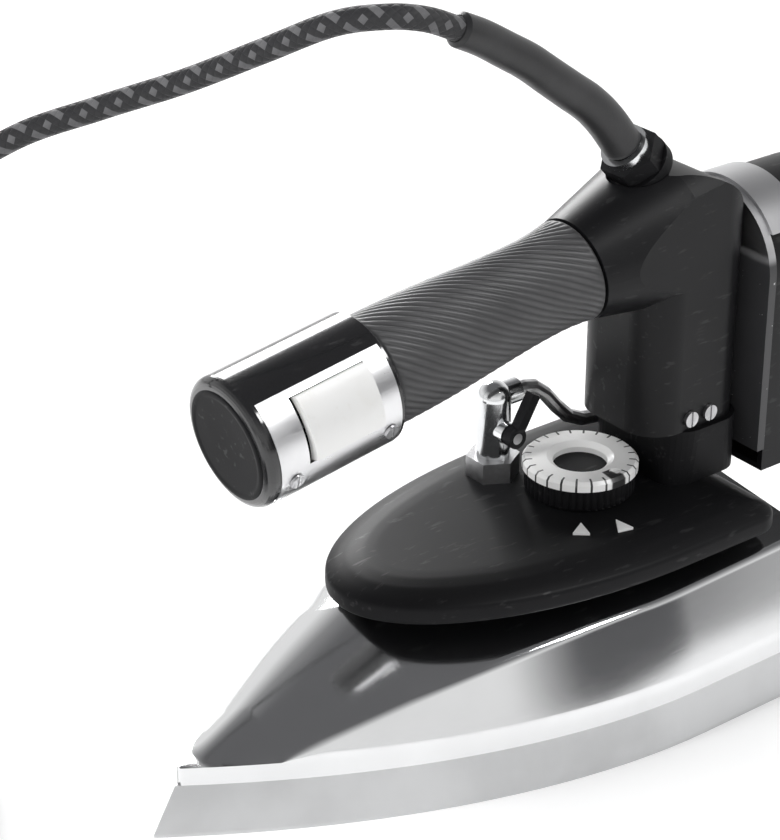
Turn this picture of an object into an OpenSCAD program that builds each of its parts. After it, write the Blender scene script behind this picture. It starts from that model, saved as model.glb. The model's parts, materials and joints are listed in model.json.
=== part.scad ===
// Industrial gravity-feed steam iron: aluminium soleplate with a steam chamber, chrome shell,
// moulded cover, cantilever handle with a thumb paddle and a solenoid water valve at the rear.
// +Z is up, the tip points to -Y, the left side is +X, z = 0 is the ironing face.

/* [Soleplate] */
// Length of the ironing face, tip to heel
sole_len = 222; // [190:1:260]
// Width of the ironing face
sole_w = 117; // [96:1:140]
// Thickness of the soleplate
sole_h = 15; // [13:0.5:22]
// How far the sides lean in from bottom to top
sole_draft = 2.5; // [1:0.5:4]
// How far the tip leans back
tip_rake = 8; // [4:1:12]
// Distance from the tip at which the sides become parallel
taper_len = 165; // [140:1:180]

/* [Shell and cover] */
// Height of the upright flange of the shell
flange_h = 6; // [4:0.5:9]
// Height of the shell's flat top above the ironing face
shell_top = 52.5; // [46:0.5:60]
// Sheet thickness of the shell
shell_t = 1.2; // [0.8:0.1:2]
// Width of the moulded cover
cover_w = 91; // [80:1:100]
// Distance from the tip to the cover's nose
cover_nose = 68; // [56:1:76]
// Height of the cover's side wall
cover_wall_h = 6; // [5:0.5:9]
// Rise of the crown above the side wall
cover_crown = 4; // [2:0.5:6]

/* [Dial] */
// Radius of the dial's knurled skirt
dial_r = 17.5; // [14:0.5:18]
// Height of the dial
dial_h = 10.5; // [8:0.5:14]
// Radius of the thermostat shaft
shaft_r = 3; // [2:0.25:4]

/* [Handle] */
// Radius of the switch housing
housing_r = 20.1; // [17:0.1:22]
// Length of the switch housing along the handle
housing_len = 48; // [44:1:56]
// Radius of the grip where the hand rests
grip_r = 17.4; // [14:0.1:19]
// Radius of the grip at its waist
grip_waist_r = 15.2; // [13:0.1:17]
// Length of the grip sleeve
grip_len = 78; // [70:1:84]
// Radius of the steel tube inside the handle
tube_r = 9; // [7:0.25:10]
// Upward tilt of the handle towards the rear, degrees
tilt = 8.8; // [4:0.5:10]
// Width of the handle post
post_w = 38; // [32:1:42]
// Depth of the handle post along the iron
post_d = 41; // [36:1:42]

/* [Solenoid valve] */
// Width of the valve housing
valve_w = 50; // [46:1:56]
// Depth of the valve housing
valve_d = 35; // [32:1:40]
// Wall of the valve housing
valve_wall = 2; // [1.5:0.25:3]
// Radius of the solenoid coil
coil_r = 14; // [11:0.5:15]
// Radius of the water inlet nipple
nipple_r = 3.5; // [2.5:0.25:4.5]

/* [Cord] */
// Diameter of the supply cord
cord_dia = 7.3; // [6:0.1:8]
// Diameter across the middle of the coiled cord
coil_mean_dia = 74; // [70:1:90]

/* [Hidden] */
$fn = 48;
eps = 0.01;

// Fits
fit = 0.05;       // radial clearance of a running fit
gap = 0.3;        // clearance between pieces that move past each other
seat = 0.1;       // clearance of a piece laid in its pocket

// Places along the iron, measured back from the tip
dial_d = 162;
post_front_d = 173.5;
post_rear_d = post_front_d + post_d;
post_mid_d = (post_front_d + post_rear_d) / 2;
bracket_t = 3;
housing_front_d = post_rear_d + bracket_t;
housing_rear_d = housing_front_d + valve_d;
valve_mid_d = (housing_front_d + housing_rear_d) / 2;
valve_front_d = valve_mid_d - 11;
nipple_len = 10;
total_len = housing_rear_d + nipple_len;
cover_tail_d = 208;
shell_rear_d = sole_len - 3;
stud_front_d = 128;
stud_rear_d = 196;
stud_x = 12;
stud_r = 3;
pillar_r = 5;
elbow_x = -23.5;
elbow_d = 146;

// Heights
flange_top = sole_h + flange_h;
shield_z = shell_top + 2;
shield_t = 1.5;
cover_z = shell_top + 0.5;
cover_side_top = cover_z + cover_wall_h;
cover_top = cover_side_top + cover_crown;
cover_t = 3;
pedestal_h = 19;
post_z = cover_top + pedestal_h;
valve_z = cover_top - 2;
arch_z = post_z + 46;

// Handle axis: the front face of the switch housing and the tilt
handle_d = 30;
handle_z = post_z + 38;
grip_gap = 0.6;
grip_s = housing_len + grip_gap;
post_s = grip_s + grip_len + grip_gap;

function y(d) = d - total_len / 2;
module at(d, z = 0, x = 0) { translate([x, y(d), z]) children(); }
module along_handle() { at(handle_d, handle_z) rotate([tilt, 0, 0]) children(); }

// ---------- outlines ----------

sole_power = 1.9;
function half_w(d, half, nose, flank) =
    d >= flank ? half : half * (1 - pow(1 - max(d - nose, 0) / (flank - nose), sole_power));

// Plan outline of the soleplate: a curved bow, parallel sides and rounded heel corners
module sole_plan(inset = 0, nose = 0, heel = sole_len, corner = 14) {
    half = sole_w / 2 - inset;
    side = concat([for (i = [0 : 22]) nose + (taper_len - nose) * i / 22],
                  [heel - corner]);
    arc = [for (a = [0 : 15 : 90]) [half - corner + corner * cos(a), heel - corner + corner * sin(a)]];
    right = concat([for (d = side) [half_w(d, half, nose, taper_len), d]], arc);
    left = [for (i = [len(right) - 1 : -1 : 1]) [-right[i][0], right[i][1]]];
    translate([0, y(0)]) polygon(concat(right, left));
}

// Plan outline of the cover: half an ellipse at the nose, parallel sides, rounded tail
module cover_plan(inset = 0) {
    half = cover_w / 2 - inset;
    nose_len = 100 - inset;
    corner = max(9 - inset, 2);
    tail = cover_tail_d - inset;
    nose_d = cover_nose + 100;
    bow = [for (a = [0 : 7.5 : 90]) [half * sin(a), nose_d - nose_len * cos(a)]];
    arc = [for (a = [0 : 15 : 90]) [half - corner + corner * cos(a), tail - corner + corner * sin(a)]];
    right = concat(bow, arc);
    left = [for (i = [len(right) - 1 : -1 : 1]) [-right[i][0], right[i][1]]];
    translate([0, y(0)]) polygon(concat(right, left));
}

// Rectangle w by d with round corners, centred
module round_rect(w, d, r) {
    square([w - 2 * r, d], center = true);
    square([w, d - 2 * r], center = true);
    for (sx = [-1, 1], sy = [-1, 1])
        translate([sx * (w / 2 - r), sy * (d / 2 - r)]) circle(r);
}

// Arched doorway outline: straight sides from z0 up to a round top centred at zc
module arch(w, z0, zc) {
    translate([-w / 2, z0]) square([w, zc - z0]);
    translate([0, zc]) circle(w / 2, $fn = 96);
}
// An XZ outline given thickness along +Y from distance d
module slab(d, t) { translate([0, y(d) + t, 0]) rotate([90, 0, 0]) linear_extrude(t) children(); }

// ---------- sweeps ----------

function unit(v) = v / norm(v);
function tangent(p, i) = unit(p[min(i + 1, len(p) - 1)] - p[max(i - 1, 0)]);
function carried(n, t) = unit(n - (n * t) * t);
function normals(p, i, n) =
    i >= len(p) ? [] : let (m = carried(n, tangent(p, i))) concat([m], normals(p, i + 1, m));
// Round tube through points p; radius runs from r0 to r1
module sweep(p, r0, r1, sides, start = [0.3, 0.9, 0.2]) {
    n = normals(p, 0, start);
    last = len(p) - 1;
    rings = [for (i = [0 : last]) let (t = tangent(p, i), b = cross(t, n[i]), r = r0 + (r1 - r0) * i / last)
             for (k = [0 : sides - 1]) p[i] + r * (cos(360 * k / sides) * n[i] + sin(360 * k / sides) * b)];
    walls = [for (i = [0 : last - 1], k = [0 : sides - 1], half = [0, 1])
             let (a = i * sides + k, b = i * sides + (k + 1) % sides)
             half == 0 ? [a, a + sides, b + sides] : [a, b + sides, b]];
    caps = [[for (k = [0 : sides - 1]) k], [for (k = [sides - 1 : -1 : 0]) last * sides + k]];
    polyhedron(rings, concat(walls, caps));
}
// Helical spring along +Z
module spring(r, wire, h, turns) {
    steps = turns * 10;
    sweep([for (i = [0 : steps]) [r * cos(36 * i), r * sin(36 * i), wire + (h - 2 * wire) * i / steps]],
          wire, wire, 6, [1, 0, 0]);
}
module screw(r, h, head_r, head_h) {
    cylinder(r = r, h = h);
    translate([0, 0, h]) difference() {
        cylinder(r = head_r, h = head_h);
        translate([-head_r, -head_r / 8, head_h * 0.6]) cube([2 * head_r, head_r / 4, head_h]);
    }
}
module hex(across, h) { cylinder(r = across / sqrt(3), h = h, $fn = 6); }

// ---------- soleplate and steam chamber ----------

pocket_floor = 5;
pocket_front_d = 47;
pocket_rear_d = 150;
pocket_front_x = 4;
pocket_rear_x = 28;
heater_r = 3.5;
heater_z = 8;
heater_bend_r = 15;
heater_bend_d = 47;
heater_edge = 12;
heater_leg = 136;
// the legs end heater_edge inside the sole's edge, whatever the sole's width
heater_splay = asin((sole_w / 2 - heater_edge) / norm([heater_bend_r, heater_leg])) - atan2(heater_bend_r, heater_leg);
terminal_top = 32;
gasket_t = 1;
lid_t = 3;
lid_rim = 5;

module pocket_plan(grow = 0) {
    translate([0, y(0)]) polygon([
        [pocket_front_x + grow * 0.8, pocket_front_d - grow], [pocket_rear_x + grow, pocket_rear_d + grow],
        [-pocket_rear_x - grow, pocket_rear_d + grow], [-pocket_front_x - grow * 0.8, pocket_front_d - grow]]);
}
// Tubular element: a front bend, two splayed legs and two upright ends
module heater_path(r) {
    at(heater_bend_d, heater_z) {
        rotate([0, 0, 180 + heater_splay]) rotate_extrude(angle = 180 - 2 * heater_splay)
            translate([heater_bend_r, 0]) circle(r);
        for (s = [-1, 1]) mirror([s < 0 ? 1 : 0, 0, 0])
            rotate([0, 0, -heater_splay]) translate([heater_bend_r, 0, 0]) {
                rotate([-90, 0, 0]) cylinder(r = r, h = heater_leg);
                translate([0, heater_leg - heater_r, 0]) cylinder(r = r, h = terminal_top - heater_z);
            }
    }
}
// Outline of the straight-sided channel that the element is pressed into
function bend_point(r, a, along = 0) =
    [r * cos(a) + along * sin(heater_splay) * (cos(a) > 0 ? 1 : -1), r * sin(a) + along * cos(heater_splay)];
module heater_channel() {
    half = heater_r + seat;
    leg = heater_leg + seat;
    turns = [for (i = [0 : 16]) -heater_splay - (180 - 2 * heater_splay) * i / 16];
    outer = [for (a = turns) bend_point(heater_bend_r + half, a)];
    inner = [for (i = [16 : -1 : 0]) bend_point(heater_bend_r - half, turns[i])];
    translate([0, y(heater_bend_d)]) polygon(concat(
        [bend_point(heater_bend_r + half, turns[0], leg)], outer,
        [bend_point(heater_bend_r + half, turns[16], leg), bend_point(heater_bend_r - half, turns[16], leg)],
        inner, [bend_point(heater_bend_r - half, turns[0], leg)]));
}
lid_screw_depth = 3;
lid_screw_pts = [for (t = [0.03, 0.5, 0.97], s = [-1, 1])
    [s * (pocket_front_x + (pocket_rear_x - pocket_front_x) * t + 2.6),
     pocket_front_d + (pocket_rear_d - pocket_front_d) * t]];
port_rows = 7;
module ports(r, h) {
    for (i = [0 : port_rows - 1], s = [-1, 1]) {
        d = pocket_front_d + 8 + 14 * i;
        at(d, -1, s * (2.5 + 3.2 * i)) cylinder(r = r, h = h, $fn = 24);
    }
}
stud_pts = [[0, stud_front_d], [-stud_x, stud_rear_d], [stud_x, stud_rear_d]];
module at_studs(z) { for (p = stud_pts) at(p[1], z, p[0]) children(); }
thermo_w = 26;
thermo_front_d = dial_d - 3.5;
thermo_len = 26;
thermo_h = 14;
thermo_screw_pts = [for (s = [-1, 1]) [s * 9, thermo_front_d + thermo_len - 6]];

module soleplate() {
    color("silver") difference() {
        hull() {
            linear_extrude(1) sole_plan();
            translate([0, 0, sole_h - 1]) linear_extrude(1)
                sole_plan(inset = sole_draft, nose = tip_rake, heel = sole_len - sole_draft);
        }
        difference() {
            translate([0, 0, pocket_floor]) linear_extrude(sole_h) pocket_plan();
            at(stud_front_d) cylinder(r = pillar_r + 1, h = sole_h);
        }
        translate([0, 0, heater_z - heater_r - seat]) linear_extrude(sole_h) heater_channel();
        ports(1.5, pocket_floor + 2);
        at_studs(sole_h - 8) cylinder(r = stud_r, h = 9);
        for (p = lid_screw_pts) at(p[1], sole_h - lid_screw_depth, p[0]) cylinder(r = 1.5, h = 7, $fn = 24);
        for (p = thermo_screw_pts) at(p[1], sole_h - 5, p[0]) cylinder(r = 1.5, h = 6, $fn = 24);
    }
}
module heating_element() { color("dimgray") heater_path(heater_r); }
module chamber_gasket() {
    color("firebrick") translate([0, 0, sole_h]) difference() {
        linear_extrude(gasket_t) difference() { pocket_plan(lid_rim); pocket_plan(0); }
        for (p = lid_screw_pts) at(p[1], -1, p[0]) cylinder(r = 1.7, h = 4, $fn = 24);
    }
}
lid_z = sole_h + gasket_t;
module chamber_lid() {
    color("gainsboro") difference() {
        translate([0, 0, lid_z]) linear_extrude(lid_t) pocket_plan(lid_rim);
        for (p = lid_screw_pts) at(p[1], lid_z - 1, p[0]) cylinder(r = 1.7, h = 9, $fn = 24);
        at(stud_front_d, 0) cylinder(r = pillar_r + seat, h = 60);
        at(elbow_d, 0, elbow_x) cylinder(r = inlet_r, h = 60);
    }
}
module lid_screws() {
    color("dimgray") for (p = lid_screw_pts) at(p[1], sole_h - lid_screw_depth, p[0])
        screw(1.5, lid_screw_depth + gasket_t + lid_t, 3, 1.8, $fn = 24);
}
inlet_r = 3.5;
inlet_top = cover_top + 8;
module steam_inlet_tube() {
    color("peru") at(elbow_d, lid_z, elbow_x) difference() {
        cylinder(r = inlet_r, h = inlet_top - lid_z);
        translate([0, 0, -1]) cylinder(r = 2.2, h = inlet_top);
    }
}
module frame_pillars() {
    color("gray") at_studs(sole_h) difference() {
        cylinder(r = pillar_r, h = shield_z - sole_h);
        translate([0, 0, -1]) cylinder(r = stud_r + fit, h = shield_z);
    }
}
nut_h = 3.2;
post_bolt_top = post_z + 14;
module frame_studs() {
    color("darkgray") {
        at(stud_front_d, sole_h - 8) cylinder(r = stud_r, h = shield_z + shield_t + nut_h - sole_h + 8);
        for (s = [-1, 1]) at(stud_rear_d, sole_h - 8, s * stud_x)
            cylinder(r = stud_r, h = post_bolt_top - sole_h + 8);
    }
}
module stud_nut() {
    difference() {
        hex(9, nut_h);
        translate([0, 0, -1]) cylinder(r = stud_r, h = nut_h + 2);
    }
}
module stud_nuts() {
    color("gray") {
        at(stud_front_d, shield_z + shield_t) stud_nut();
        for (s = [-1, 1]) at(stud_rear_d, post_bolt_top - nut_h, s * stud_x) stud_nut();
    }
}

// ---------- shell, shield and cover ----------

ridge_start_d = 34.4;
ridge_flat_d = 152.4;
ridge_rise = 24.9;
ridge_lean = 0.37;
crest_slope = 0.56;
function ridge_t(d) = min(max((d - ridge_start_d) / (ridge_flat_d - ridge_start_d), 0), 1);
function ridge_z(d) = flange_top + ridge_rise * (1 - pow(1 - ridge_t(d), 2)) + 0.03 * max(d - ridge_flat_d, 0);
function crest_z(d) = min(flange_top + crest_slope * max(d - tip_rake - 8, 0), shell_top);
function shell_half(d) = half_w(d, sole_w / 2 - sole_draft, tip_rake, taper_len);
shell_stations = concat([for (i = [0 : 2]) tip_rake + 1.5 + 5 * i], [for (i = [0 : 18]) 26 + 8 * i], [178, 196, shell_rear_d - 6]);
// One cross-section: flange foot, flange top, ridge and crest on each side
function shell_ring(d, s, dz, foot) = let (
        w = shell_half(d) - s, lift = min(ridge_z(d), crest_z(d)), r = max(w - ridge_lean * (lift - flange_top), 0.4))
    [[w, d, foot], [w, d, flange_top - dz], [r, d, lift - dz], [0, d, crest_z(d) + 0.3 - dz],
     [-r, d, lift - dz], [-w, d, flange_top - dz], [-w, d, foot]];
module shell_loft(s, dz, foot, front, rear) {
    stations = concat([for (d = shell_stations) if (d > front && d < rear - 4) d], [rear]);
    n = 7;
    pts = [for (d = stations) for (p = shell_ring(d, s, dz, foot)) [p[0], y(p[1]), p[2]]];
    last = len(stations) - 1;
    walls = [for (i = [0 : last - 1], k = [0 : n - 1]) [i * n + k, i * n + (k + 1) % n, (i + 1) * n + (k + 1) % n, (i + 1) * n + k]];
    caps = [[for (k = [n - 1 : -1 : 0]) k], [for (k = [0 : n - 1]) last * n + k]];
    polyhedron(pts, concat(walls, caps));
}
opening_front_d = dial_d - 12;
opening_rear_d = 206;
opening_x = 19;
module body_shell() {
    color("silver") difference() {
        shell_loft(0, 0, sole_h, 0, shell_rear_d);
        shell_loft(shell_t, shell_t, sole_h - 1, tip_rake + 6, shell_rear_d - shell_t);
        translate([-opening_x, y(opening_front_d), 40]) cube([2 * opening_x, opening_rear_d - opening_front_d, 30]);
        at(stud_front_d, 40) cylinder(r = pillar_r + 1, h = 30);
        at(elbow_d, 40, elbow_x) cylinder(r = inlet_r + 1, h = 30);
    }
}
module heat_shield() {
    color("darkgray") difference() {
        translate([0, 0, shield_z]) linear_extrude(shield_t) cover_plan(cover_t + 1);
        at_studs(shield_z - 1) cylinder(r = stud_r + fit, h = 9);
        at(dial_d, shield_z - 1) cylinder(r = shaft_r + 2, h = 9);
        at(elbow_d, shield_z - 1, elbow_x) cylinder(r = inlet_r + 1, h = 9);
    }
}
module top_cover() {
    color([0.08, 0.08, 0.085]) difference() {
        hull() {
            translate([0, 0, cover_z]) linear_extrude(1) cover_plan(1);
            translate([0, 0, cover_z + 2]) linear_extrude(cover_wall_h - 4) cover_plan();
            translate([0, 0, cover_side_top - 0.5]) linear_extrude(0.5) cover_plan(1.2);
            translate([0, 0, cover_top - 1.6]) linear_extrude(0.5) cover_plan(6);
            translate([0, 0, cover_top - 0.2]) linear_extrude(0.2) cover_plan(15);
        }
        translate([0, 0, cover_z - 1]) linear_extrude(cover_side_top - cover_z + 1.2) cover_plan(cover_t);
        at(dial_d, cover_z) cylinder(r = shaft_r + gap, h = 30);
        at(elbow_d, cover_z, elbow_x) cylinder(r = inlet_r + gap, h = 30);
        for (s = [-1, 1]) at(stud_rear_d, cover_z, s * stud_x) cylinder(r = stud_r + fit, h = 30);
    }
}
pedestal_w = 40;
pedestal_front_d = dial_d + dial_r + 3.5;
pedestal_rear_d = post_rear_d - 1;
wire_bore_r = 6;
module handle_pedestal() {
    mid = (pedestal_front_d + pedestal_rear_d) / 2;
    depth = pedestal_rear_d - pedestal_front_d;
    color([0.07, 0.07, 0.075]) difference() {
        hull() {
            at(mid, cover_top) linear_extrude(1) round_rect(pedestal_w, depth, 8, $fn = 32);
            at(mid, post_z - 1) linear_extrude(1) round_rect(post_w + 4, depth, 10, $fn = 32);
        }
        for (s = [-1, 1]) at(stud_rear_d, 0, s * stud_x) cylinder(r = stud_r + fit, h = 120);
        at(post_mid_d + 11, 0) cylinder(r = wire_bore_r - 1, h = 120);
    }
}

// ---------- thermostat, fuse, terminals and dial ----------

module thermostat_body() {
    color("ivory") difference() {
        translate([-thermo_w / 2, y(thermo_front_d), sole_h]) cube([thermo_w, thermo_len, thermo_h]);
        at(dial_d, sole_h + thermo_h - 6) cylinder(r = shaft_r + fit, h = 7);
        for (p = thermo_screw_pts) at(p[1], sole_h - 1, p[0]) cylinder(r = 1.7, h = 30, $fn = 24);
    }
}
module thermostat_screws() {
    color("gray") for (p = thermo_screw_pts) at(p[1], sole_h - 5, p[0]) screw(1.5, thermo_h + 5, 2.8, 1.6, $fn = 24);
}
module thermal_fuse() {
    color("gainsboro") at(188, sole_h + 3.5, -34) rotate([0, 90, 0]) {
        cylinder(r = 3, h = 16);
        translate([0, 0, -6]) cylinder(r = 0.8, h = 28, $fn = 16);
    }
}
module terminal_block() {
    color("ivory") difference() {
        translate([-16, y(205), sole_h]) cube([32, 10, 12]);
        for (x = [-10, 0, 10]) at(204, sole_h + 7, x) rotate([-90, 0, 0]) cylinder(r = 2.2, h = 20, center = true, $fn = 24);
    }
}
dial_z = cover_top + gap + 0.1;
ring_h = 3.2;
ring_in_r = 8.6;
knob_top = dial_z + dial_h - ring_h;
module dial_shaft() {
    z0 = sole_h + thermo_h - 5.5;
    color("darkgray") at(dial_d, z0) cylinder(r = shaft_r, h = knob_top - z0 - 1);
}
module dial_knob() {
    grips = 26;
    color([0.06, 0.06, 0.065]) at(dial_d, dial_z) difference() {
        union() {
            cylinder(r = dial_r, h = dial_h - ring_h, $fn = 96);
            cylinder(r = ring_in_r - seat, h = dial_h - ring_h + 1);
        }
        for (i = [0 : grips - 1]) rotate([0, 0, 360 * i / grips]) translate([dial_r + 0.5, 0, -1])
            cylinder(r = 1.3, h = dial_h, $fn = 16);
        translate([0, 0, -1]) cylinder(r = shaft_r, h = dial_h - ring_h);
    }
}
module dial_ring() {
    color("whitesmoke") at(dial_d, knob_top) difference() {
        rotate_extrude($fn = 96) polygon([[ring_in_r, 0], [dial_r + 0.8, 0], [dial_r + 0.8, ring_h - 1],
            [dial_r - 0.2, ring_h], [ring_in_r + 2, ring_h], [ring_in_r, ring_h - 1.4]]);
        rotate([0, 0, 8]) translate([(dial_r + ring_in_r) / 2 + 1, 0, ring_h - 0.8]) cylinder(r = 1.8, h = 2);
    }
}
// Two raised index arrows beside the dial
module dial_pointers() {
    color("lightgray") for (a = [-40, -14]) at(dial_d, cover_top) rotate([0, 0, a])
        translate([dial_r + 7, 0, 0]) linear_extrude(0.8) polygon([[0, 0], [6.5, -2.6], [6.5, 2.6]]);
}

// ---------- steam feed ----------

elbow_r = 5.5;
elbow_z = cover_top;
elbow_h = 30;
needle_z = elbow_z + 17;
module union_nut() {
    color("goldenrod") at(elbow_d, elbow_z, elbow_x) difference() {
        hex(15, 7);
        translate([0, 0, -1]) cylinder(r = inlet_r, h = 9);
    }
}
module union_elbow() {
    color("silver") at(elbow_d, elbow_z + 7, elbow_x) difference() {
        union() {
            cylinder(r = elbow_r, h = elbow_h - 10);
            translate([0, 0, elbow_h - 10]) sphere(elbow_r);
            translate([0, 0, elbow_h - 10]) rotate([-90, 0, 0]) cylinder(r = 4, h = 9);
            translate([0, 0, 10]) rotate([0, 90, 0]) cylinder(r = 3.6, h = 8);
        }
        translate([0, 0, -1]) cylinder(r = inlet_r, h = 2.01);
        translate([0, 0, 1]) cylinder(r = 2.2, h = elbow_h - 11);
        translate([0, 0, elbow_h - 10]) rotate([-90, 0, 0]) translate([0, 0, 1]) cylinder(r = pipe_r + seat, h = 10);
        translate([0, 0, 10]) rotate([0, 90, 0]) cylinder(r = needle_r + fit, h = 10);
    }
}
pipe_r = 2.4;
needle_r = 1.8;
pipe_z = elbow_z + elbow_h - 3;
pipe_low_z = pipe_z - 20;
pipe_route = [[elbow_x, elbow_d + 3, pipe_z], [elbow_x, 158, pipe_z], [elbow_x, 162, pipe_z - 1],
    [elbow_x, 167, pipe_z - 5], [elbow_x, 172, pipe_z - 11], [elbow_x, 177, pipe_z - 16], [elbow_x, 183, pipe_z - 19],
    [elbow_x, 190, pipe_low_z], [elbow_x, 198, pipe_low_z], [elbow_x, post_rear_d - 7.5, pipe_low_z],
    [elbow_x + 1.5, post_rear_d - 4, pipe_low_z], [elbow_x + 4, post_rear_d - 0.5, pipe_low_z],
    [elbow_x + 7, post_rear_d + 3, pipe_low_z], [elbow_x + 9.5, post_rear_d + 5.5, pipe_low_z],
    [elbow_x + 10.5, valve_front_d - 2, pipe_low_z], [elbow_x + 10.5, valve_front_d, pipe_low_z]];
module feed_pipe() { color("silver") sweep([for (p = pipe_route) [p[0], y(p[1]), p[2]]], pipe_r, pipe_r, 12); }
module regulator_needle() {
    color("gray") at(elbow_d, needle_z, elbow_x + 2.4) rotate([0, 90, 0]) cylinder(r = needle_r, h = 9.6);
}
lever_len = 15;
module regulator_lever() {
    color([0.05, 0.05, 0.05]) at(elbow_d, needle_z, elbow_x + 8.4) rotate([-30, 0, 0]) difference() {
        union() {
            rotate([0, 90, 0]) cylinder(r = 3.4, h = 3.6);
            translate([0, -1.6, 0]) cube([3.6, 3.2, lever_len]);
        }
        rotate([0, 90, 0]) cylinder(r = needle_r + fit, h = 8, center = true);
    }
}

// ---------- handle ----------

post_corner = 12;
shoulder_r = 28;
shoulder_z = arch_z + 10;
arm_r = 16.4;
arm_flare_r = 25;
arm_len = 34;
tube_end_s = post_s + 22;
// Handle arm that widens into the post
module post_arm() {
    along_handle() translate([0, post_s, 0]) rotate([-90, 0, 0]) {
        cylinder(r1 = arm_r, r2 = arm_flare_r, h = arm_len, $fn = 96);
        translate([0, 0, arm_len]) cylinder(r = arm_flare_r, h = 40, $fn = 96);
    }
}
// Side profile: flat foot, upright back and a large rounded shoulder
module post_profile() {
    front = post_front_d - 50;
    translate([y(0), 0]) {
        translate([front, post_z]) square([post_rear_d - front, shoulder_z - post_z]);
        translate([front, post_z]) square([post_rear_d - shoulder_r - front, shoulder_z + shoulder_r - post_z]);
        translate([post_rear_d - shoulder_r, shoulder_z]) circle(shoulder_r, $fn = 96);
    }
}
module post_body() {
    intersection() {
        union() {
            at(post_mid_d, post_z) linear_extrude(60) round_rect(post_w, post_d, post_corner);
            intersection() {
                post_arm();
                at(post_mid_d - 25, 0) linear_extrude(300) round_rect(post_w, post_d + 50, post_corner);
            }
        }
        translate([-60, 0, 0]) rotate([90, 0, 90]) linear_extrude(120) post_profile();
    }
}
module handle_post() {
    color([0.07, 0.07, 0.075]) difference() {
        post_body();
        along_handle() translate([0, post_s - 1, 0]) rotate([-90, 0, 0]) cylinder(r = tube_r, h = tube_end_s - post_s + 1);
        for (s = [-1, 1]) at(stud_rear_d, post_z - 1, s * stud_x) {
            cylinder(r = stud_r + fit, h = 24);
            translate([0, 0, 1 + post_bolt_top - nut_h - post_z]) cylinder(r = 5.4, h = 8);
        }
        gland_place() translate([0, 0, -20]) cylinder(r = gland_thread_r, h = 21);
        gland_place() cylinder(r = gland_flange_r + gap, h = 40);
        at(post_mid_d, post_z - 1) translate([0, 11, 0]) cylinder(r = wire_bore_r - 1, h = 44);
        for (s = [-1, 1]) foot_place(s) translate([0, 0, -foot_screw_in]) cylinder(r = 1.5, h = 12, $fn = 24);
        for (p = bracket_screw_pts) at(post_rear_d, p[1], p[0]) rotate([90, 0, 0]) cylinder(r = 1.6, h = 16, center = true, $fn = 24);
    }
}
foot_screw_in = 1.2;
// Small screws at the foot of the post, on its left side
module foot_place(s) { at(post_mid_d + s * 4, post_z + 4, post_w / 2 - 2) rotate([0, 90, 0]) children(); }
module foot_screws() { color("silver") for (s = [-1, 1]) foot_place(s) translate([0, 0, -foot_screw_in]) screw(1.5, foot_screw_in + 2.1, 2.6, 1.2, $fn = 24); }
module handle_tube() {
    color("gray") along_handle() translate([0, housing_len - 5, 0]) rotate([-90, 0, 0]) difference() {
        cylinder(r = tube_r, h = tube_end_s - housing_len + 5);
        translate([0, 0, -1]) cylinder(r = tube_r - 1.5, h = 200);
    }
}
function grip_radius(t) = grip_r - (grip_r - grip_waist_r) * pow(sin(90 * min(t / 0.82, 1)), 3)
    + 1.2 * pow(max(t - 0.82, 0) / 0.18, 2);
module handle_grip() {
    steps = 20;
    color([0.09, 0.09, 0.09]) along_handle() translate([0, grip_s, 0]) rotate([-90, 0, 0]) difference() {
        rotate_extrude($fn = 72) polygon(concat([[tube_r + seat, 0]],
            [for (i = [0 : steps]) [grip_radius(i / steps), grip_len * i / steps]], [[tube_r + seat, grip_len]]));
    }
}
plate_from = 36;
plate_to = 140;
plate_t = 1.5;
wall_t = 2.8;
button_turn = 72;
button_len = 24;
button_w = 19;
button_s0 = 15;
pin_s = button_s0 + button_len - 3;
pin_out = housing_r - 7.3;
pin_r = 1;
pin_len = 23.4;
// Frame of the paddle: local x points outward through its middle, y runs along the handle
module side_frame() { along_handle() rotate([0, button_turn - 90, 0]) children(); }
swing_room = 1.4;
module window(grow, front_grow, x0, x1) {
    translate([x0, button_s0 - front_grow, -button_w / 2 - grow])
        cube([x1 - x0, button_len + grow + front_grow, button_w + 2 * grow]);
}
// Ring sector between two radii, measured from straight up towards the left side
module sector(r0, r1, a0, a1, s0, s1) {
    rotate([-90, 0, 0]) translate([0, 0, s0]) rotate([0, 0, a0 - 90])
        rotate_extrude(angle = a1 - a0, $fn = 96) translate([r0, 0]) square([r1 - r0, s1 - s0]);
}
module switch_housing() {
    edge = 3;
    color([0.04, 0.04, 0.045]) difference() {
        along_handle() rotate([-90, 0, 0]) rotate_extrude($fn = 96) polygon(concat([[0, 0]],
            [for (a = [-90 : 15 : 0]) [housing_r - edge + edge * cos(a), edge + edge * sin(a)]],
            [[housing_r, housing_len - 1], [housing_r - 1, housing_len], [0, housing_len]]));
        difference() {
            along_handle() rotate([-90, 0, 0]) translate([0, 0, wall_t]) cylinder(r = housing_r - wall_t, h = housing_len - wall_t - 6);
            for (z = [10, -14]) side_frame() translate([pin_out - 2.5, pin_s - 2.5, z]) cube([8, 5, 4]);
        }
        along_handle() rotate([-90, 0, 0]) translate([0, 0, housing_len - 7]) cylinder(r = tube_r, h = 9);
        along_handle() sector(housing_r - plate_t - fit, housing_r + 5, plate_from - 0.3, plate_to + 0.3, plate_s0 - seat, plate_s1 + seat);
        side_frame() window(0.4, swing_room, housing_r - 12, housing_r + 5);
        side_frame() translate([pin_out, pin_s, 0]) cylinder(r = pin_r + 0.01, h = pin_len + 0.1, center = true, $fn = 24);
        for (p = plate_screw_pts) plate_place(p) translate([0, 0, -8]) cylinder(r = 1.3, h = 20, $fn = 24);
    }
}
plate_s0 = 4;
plate_s1 = 46;
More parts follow.
